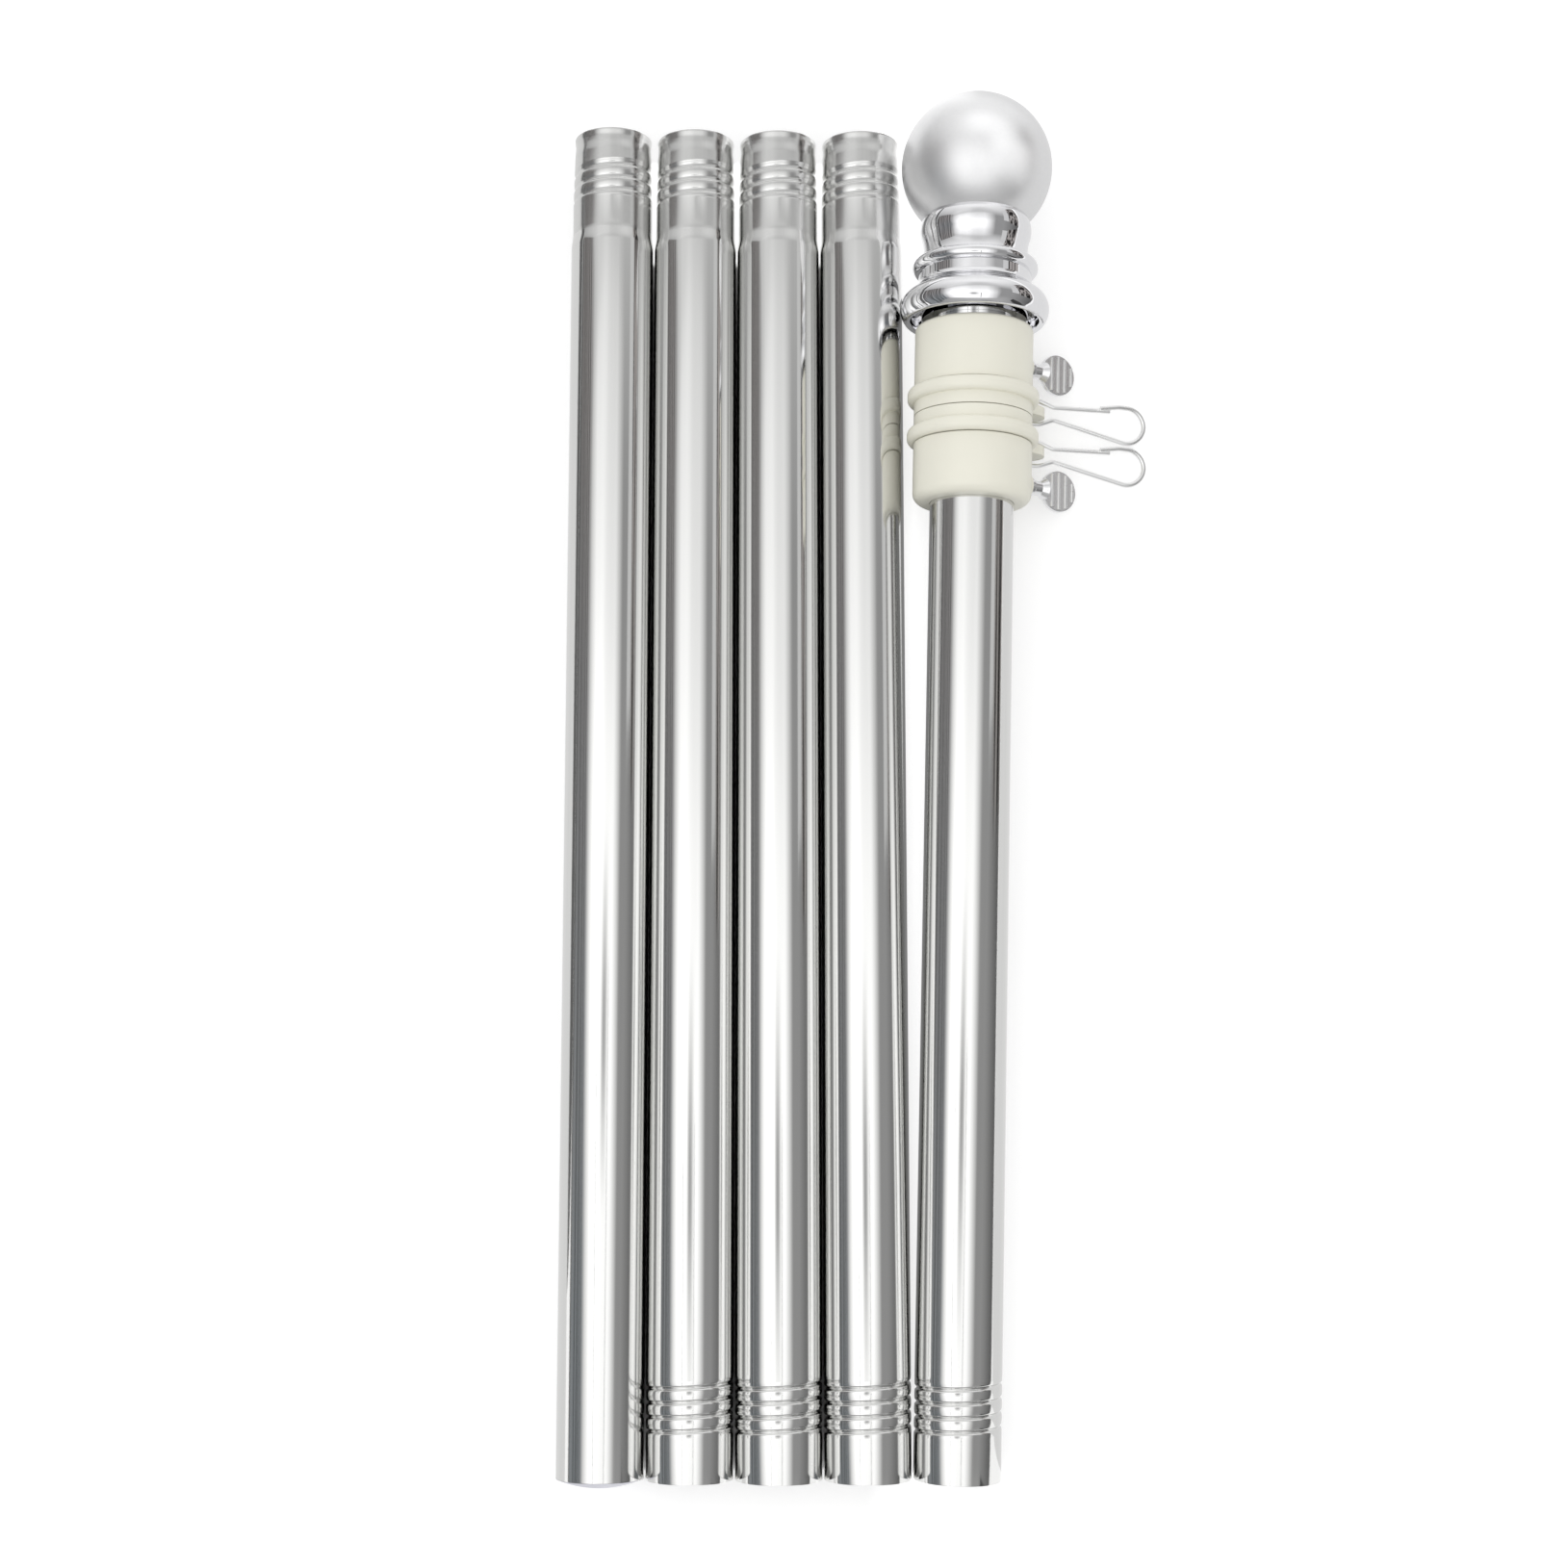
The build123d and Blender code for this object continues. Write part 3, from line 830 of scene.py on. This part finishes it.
def build_camera_shade():
    """Soft dim patch where the polished surfaces show the camera in front of the light."""
    centre = (CAMERA_SPOT.x + SHADE_OFFSET[0], CAMERA_SPOT.y + SHADE_OFFSET[1])
    low, high = ([c + side * h for c, h in zip(centre, SHADE_HALF)] for side in (-1, 1))
    shade = stage_plane("camera_shade", low, high, SHADE_HEIGHT)
    material, tree, shader = emission_material("camera_shade_tone")
    shader.inputs["Strength"].default_value = SHADE_LEVEL
    place = object_place(tree)
    across = edge_fade(tree, place.outputs["X"], (low[0], high[0]), SHADE_X_SOFT)
    along = edge_fade(tree, place.outputs["Y"], (low[1], high[1]), SHADE_Y_SOFT)
    fade_to_clear(tree, shader, combine(tree, "MULTIPLY", across, along))
    shade.data.materials.append(material)
    only_in_reflections(shade)


def build_card(name, corner, across, along, level):
    """Rectangle that only polished surfaces show, from a corner and two sides."""
    corner, across, along = Vector(corner), Vector(across), Vector(along)
    card = add_stage(name, [corner, corner + across, corner + across + along, corner + along],
                     [(0, 1, 2, 3)])
    material, tree, shader = emission_material(name + "_tone")
    shader.inputs["Strength"].default_value = level
    card.data.materials.append(material)
    only_in_reflections(card)
    return tree, shader


def build_rack(name, sides, stretch, levels, tints):
    """Card whose tone changes in fine bands, like a rack of equipment, with a tint at either
    end."""
    tree, shader = build_card(name, *sides, levels[0])
    bands = noise(tree, stretched(tree, object_vector(tree), stretch), 1.0, 1.0)
    tree.links.new(map_range(tree, bands, *RACK_BANDS, *levels), shader.inputs["Strength"])
    place = map_range(tree, object_place(tree).outputs["Y"], *RACK_TINT_ENDS, 0, 1)
    tree.links.new(blend(tree, place, *tints), shader.inputs["Color"])


def build_cards():
    """What else the polished surfaces show: the camera's arms, a side panel, dark equipment, the
    table's dark edge and papers, and painted shade in the gap beside the top section."""
    for name, away in CAMERA_ARMS:
        build_card(name, (CAMERA_SPOT.x + away, ARM_NEAR_END, ARM_HEIGHT), (ARM_WIDTH, 0, 0),
                   (0, ARM_LENGTH, 0), ARM_LEVEL)
    build_card("side_panel", *SIDE_PANEL)
    for rack in RACKS:
        build_rack(*rack)
    paper_left = cad_low.x - LEFT_PAPER_REACH
    build_card("table_edge", TABLE_EDGE_CORNER, (paper_left - TABLE_EDGE_CORNER[0], 0, 0),
               (0, TABLE_EDGE_LENGTH, 0), TABLE_EDGE_LEVEL)
    build_card("left_paper", (paper_left, LEFT_PAPER_NEAR_END, PAPER_HEIGHT),
               (LEFT_PAPER_REACH + TUBE_RADIUS * MM, 0, 0), (0, LEFT_PAPER_LENGTH, 0), PAPER_LEVEL)
    foot, along = POLE.translation, POLE.col[2]
    # The second card is painted shade for the shadowed table in the gap beside the top section.
    for name, height, width, length, level in (
            ("right_paper", PAPER_HEIGHT, RIGHT_PAPER_WIDTH, RIGHT_PAPER_LENGTH, PAPER_LEVEL),
            ("gap_painted_shade", GAP_PAINTED_SHADE_HEIGHT, GAP_PAINTED_SHADE_WIDTH, GAP_PAINTED_SHADE_LENGTH, GAP_PAINTED_SHADE_LEVEL)):
        build_card(name, (foot.x, foot.y, height), (width, 0, 0),
                   (along.x * length, along.y * length, 0), level)
    build_card("near_right_stand", *NEAR_RIGHT_STAND)


def build_ball_lights():
    """Soft lights that fall on the satin ball alone, from the right, the top and the far end."""
    lit = bpy.data.collections.new("lit_ball")
    lit.objects.link(frame["nodes"]["finial_ball"])
    low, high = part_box("finial_ball")
    centre = (low + high) / 2
    for name, away, size, power in BALL_LIGHTS:
        data = bpy.data.lights.new(name, "AREA")
        data.shape = "RECTANGLE"
        data.size, data.size_y = size
        data.energy = power
        lamp = bpy.data.objects.new(name, data)
        bpy.context.scene.collection.objects.link(lamp)
        lamp.location = centre + Vector(away)
        lamp.rotation_euler = Vector(away).to_track_quat("Z", "Y").to_euler()
        lamp.light_linking.receiver_collection = lit
        lamp.visible_camera = False


def build_world():
    """White to the camera, to glossy and to transmission rays, and a soft fill for the rest."""
    world = bpy.data.worlds.new("studio_world")
    world.use_nodes = True
    bpy.context.scene.world = world
    tree = world.node_tree
    lean = add_node(tree, "ShaderNodeVectorMath", operation="DOT_PRODUCT")
    tree.links.new(add_node(tree, "ShaderNodeTexCoord").outputs["Generated"], lean.inputs[0])
    lean.inputs[1].default_value = WORLD_LEAN
    fill = map_range(tree, lean.outputs["Value"], -1, 1, WORLD_LEVEL - 1, WORLD_LEVEL + 1)
    strength = add_node(tree, "ShaderNodeMix", data_type="FLOAT")
    tree.links.new(shown_ray(tree), strength.inputs["Factor"])
    tree.links.new(fill, strength.inputs["A"])
    strength.inputs["B"].default_value = 1.0
    background = tree.nodes["Background"]
    background.inputs["Color"].default_value = (1, 1, 1, 1)
    tree.links.new(strength.outputs["Result"], background.inputs["Strength"])
    world.cycles.sampling_method = "NONE"


def build_camera():
    data = bpy.data.cameras.new("camera")
    data.sensor_width = CAMERA_SENSOR
    data.lens = CAMERA_LENS
    camera = bpy.data.objects.new("camera", data)
    bpy.context.scene.collection.objects.link(camera)
    turn = Matrix.Identity(4)
    for angle, axis in zip(CAMERA_TURN, "XYZ"):
        turn = turn @ Matrix.Rotation(math.radians(angle), 4, axis)
    camera.matrix_world = Matrix.Translation(CAMERA_SPOT) @ turn
    bpy.context.scene.camera = camera


build_floor()
build_softbox()
build_studio()
build_camera_shade()
build_cards()
build_ball_lights()
build_world()
build_camera()
bpy.context.scene.view_settings.view_transform = "Standard"
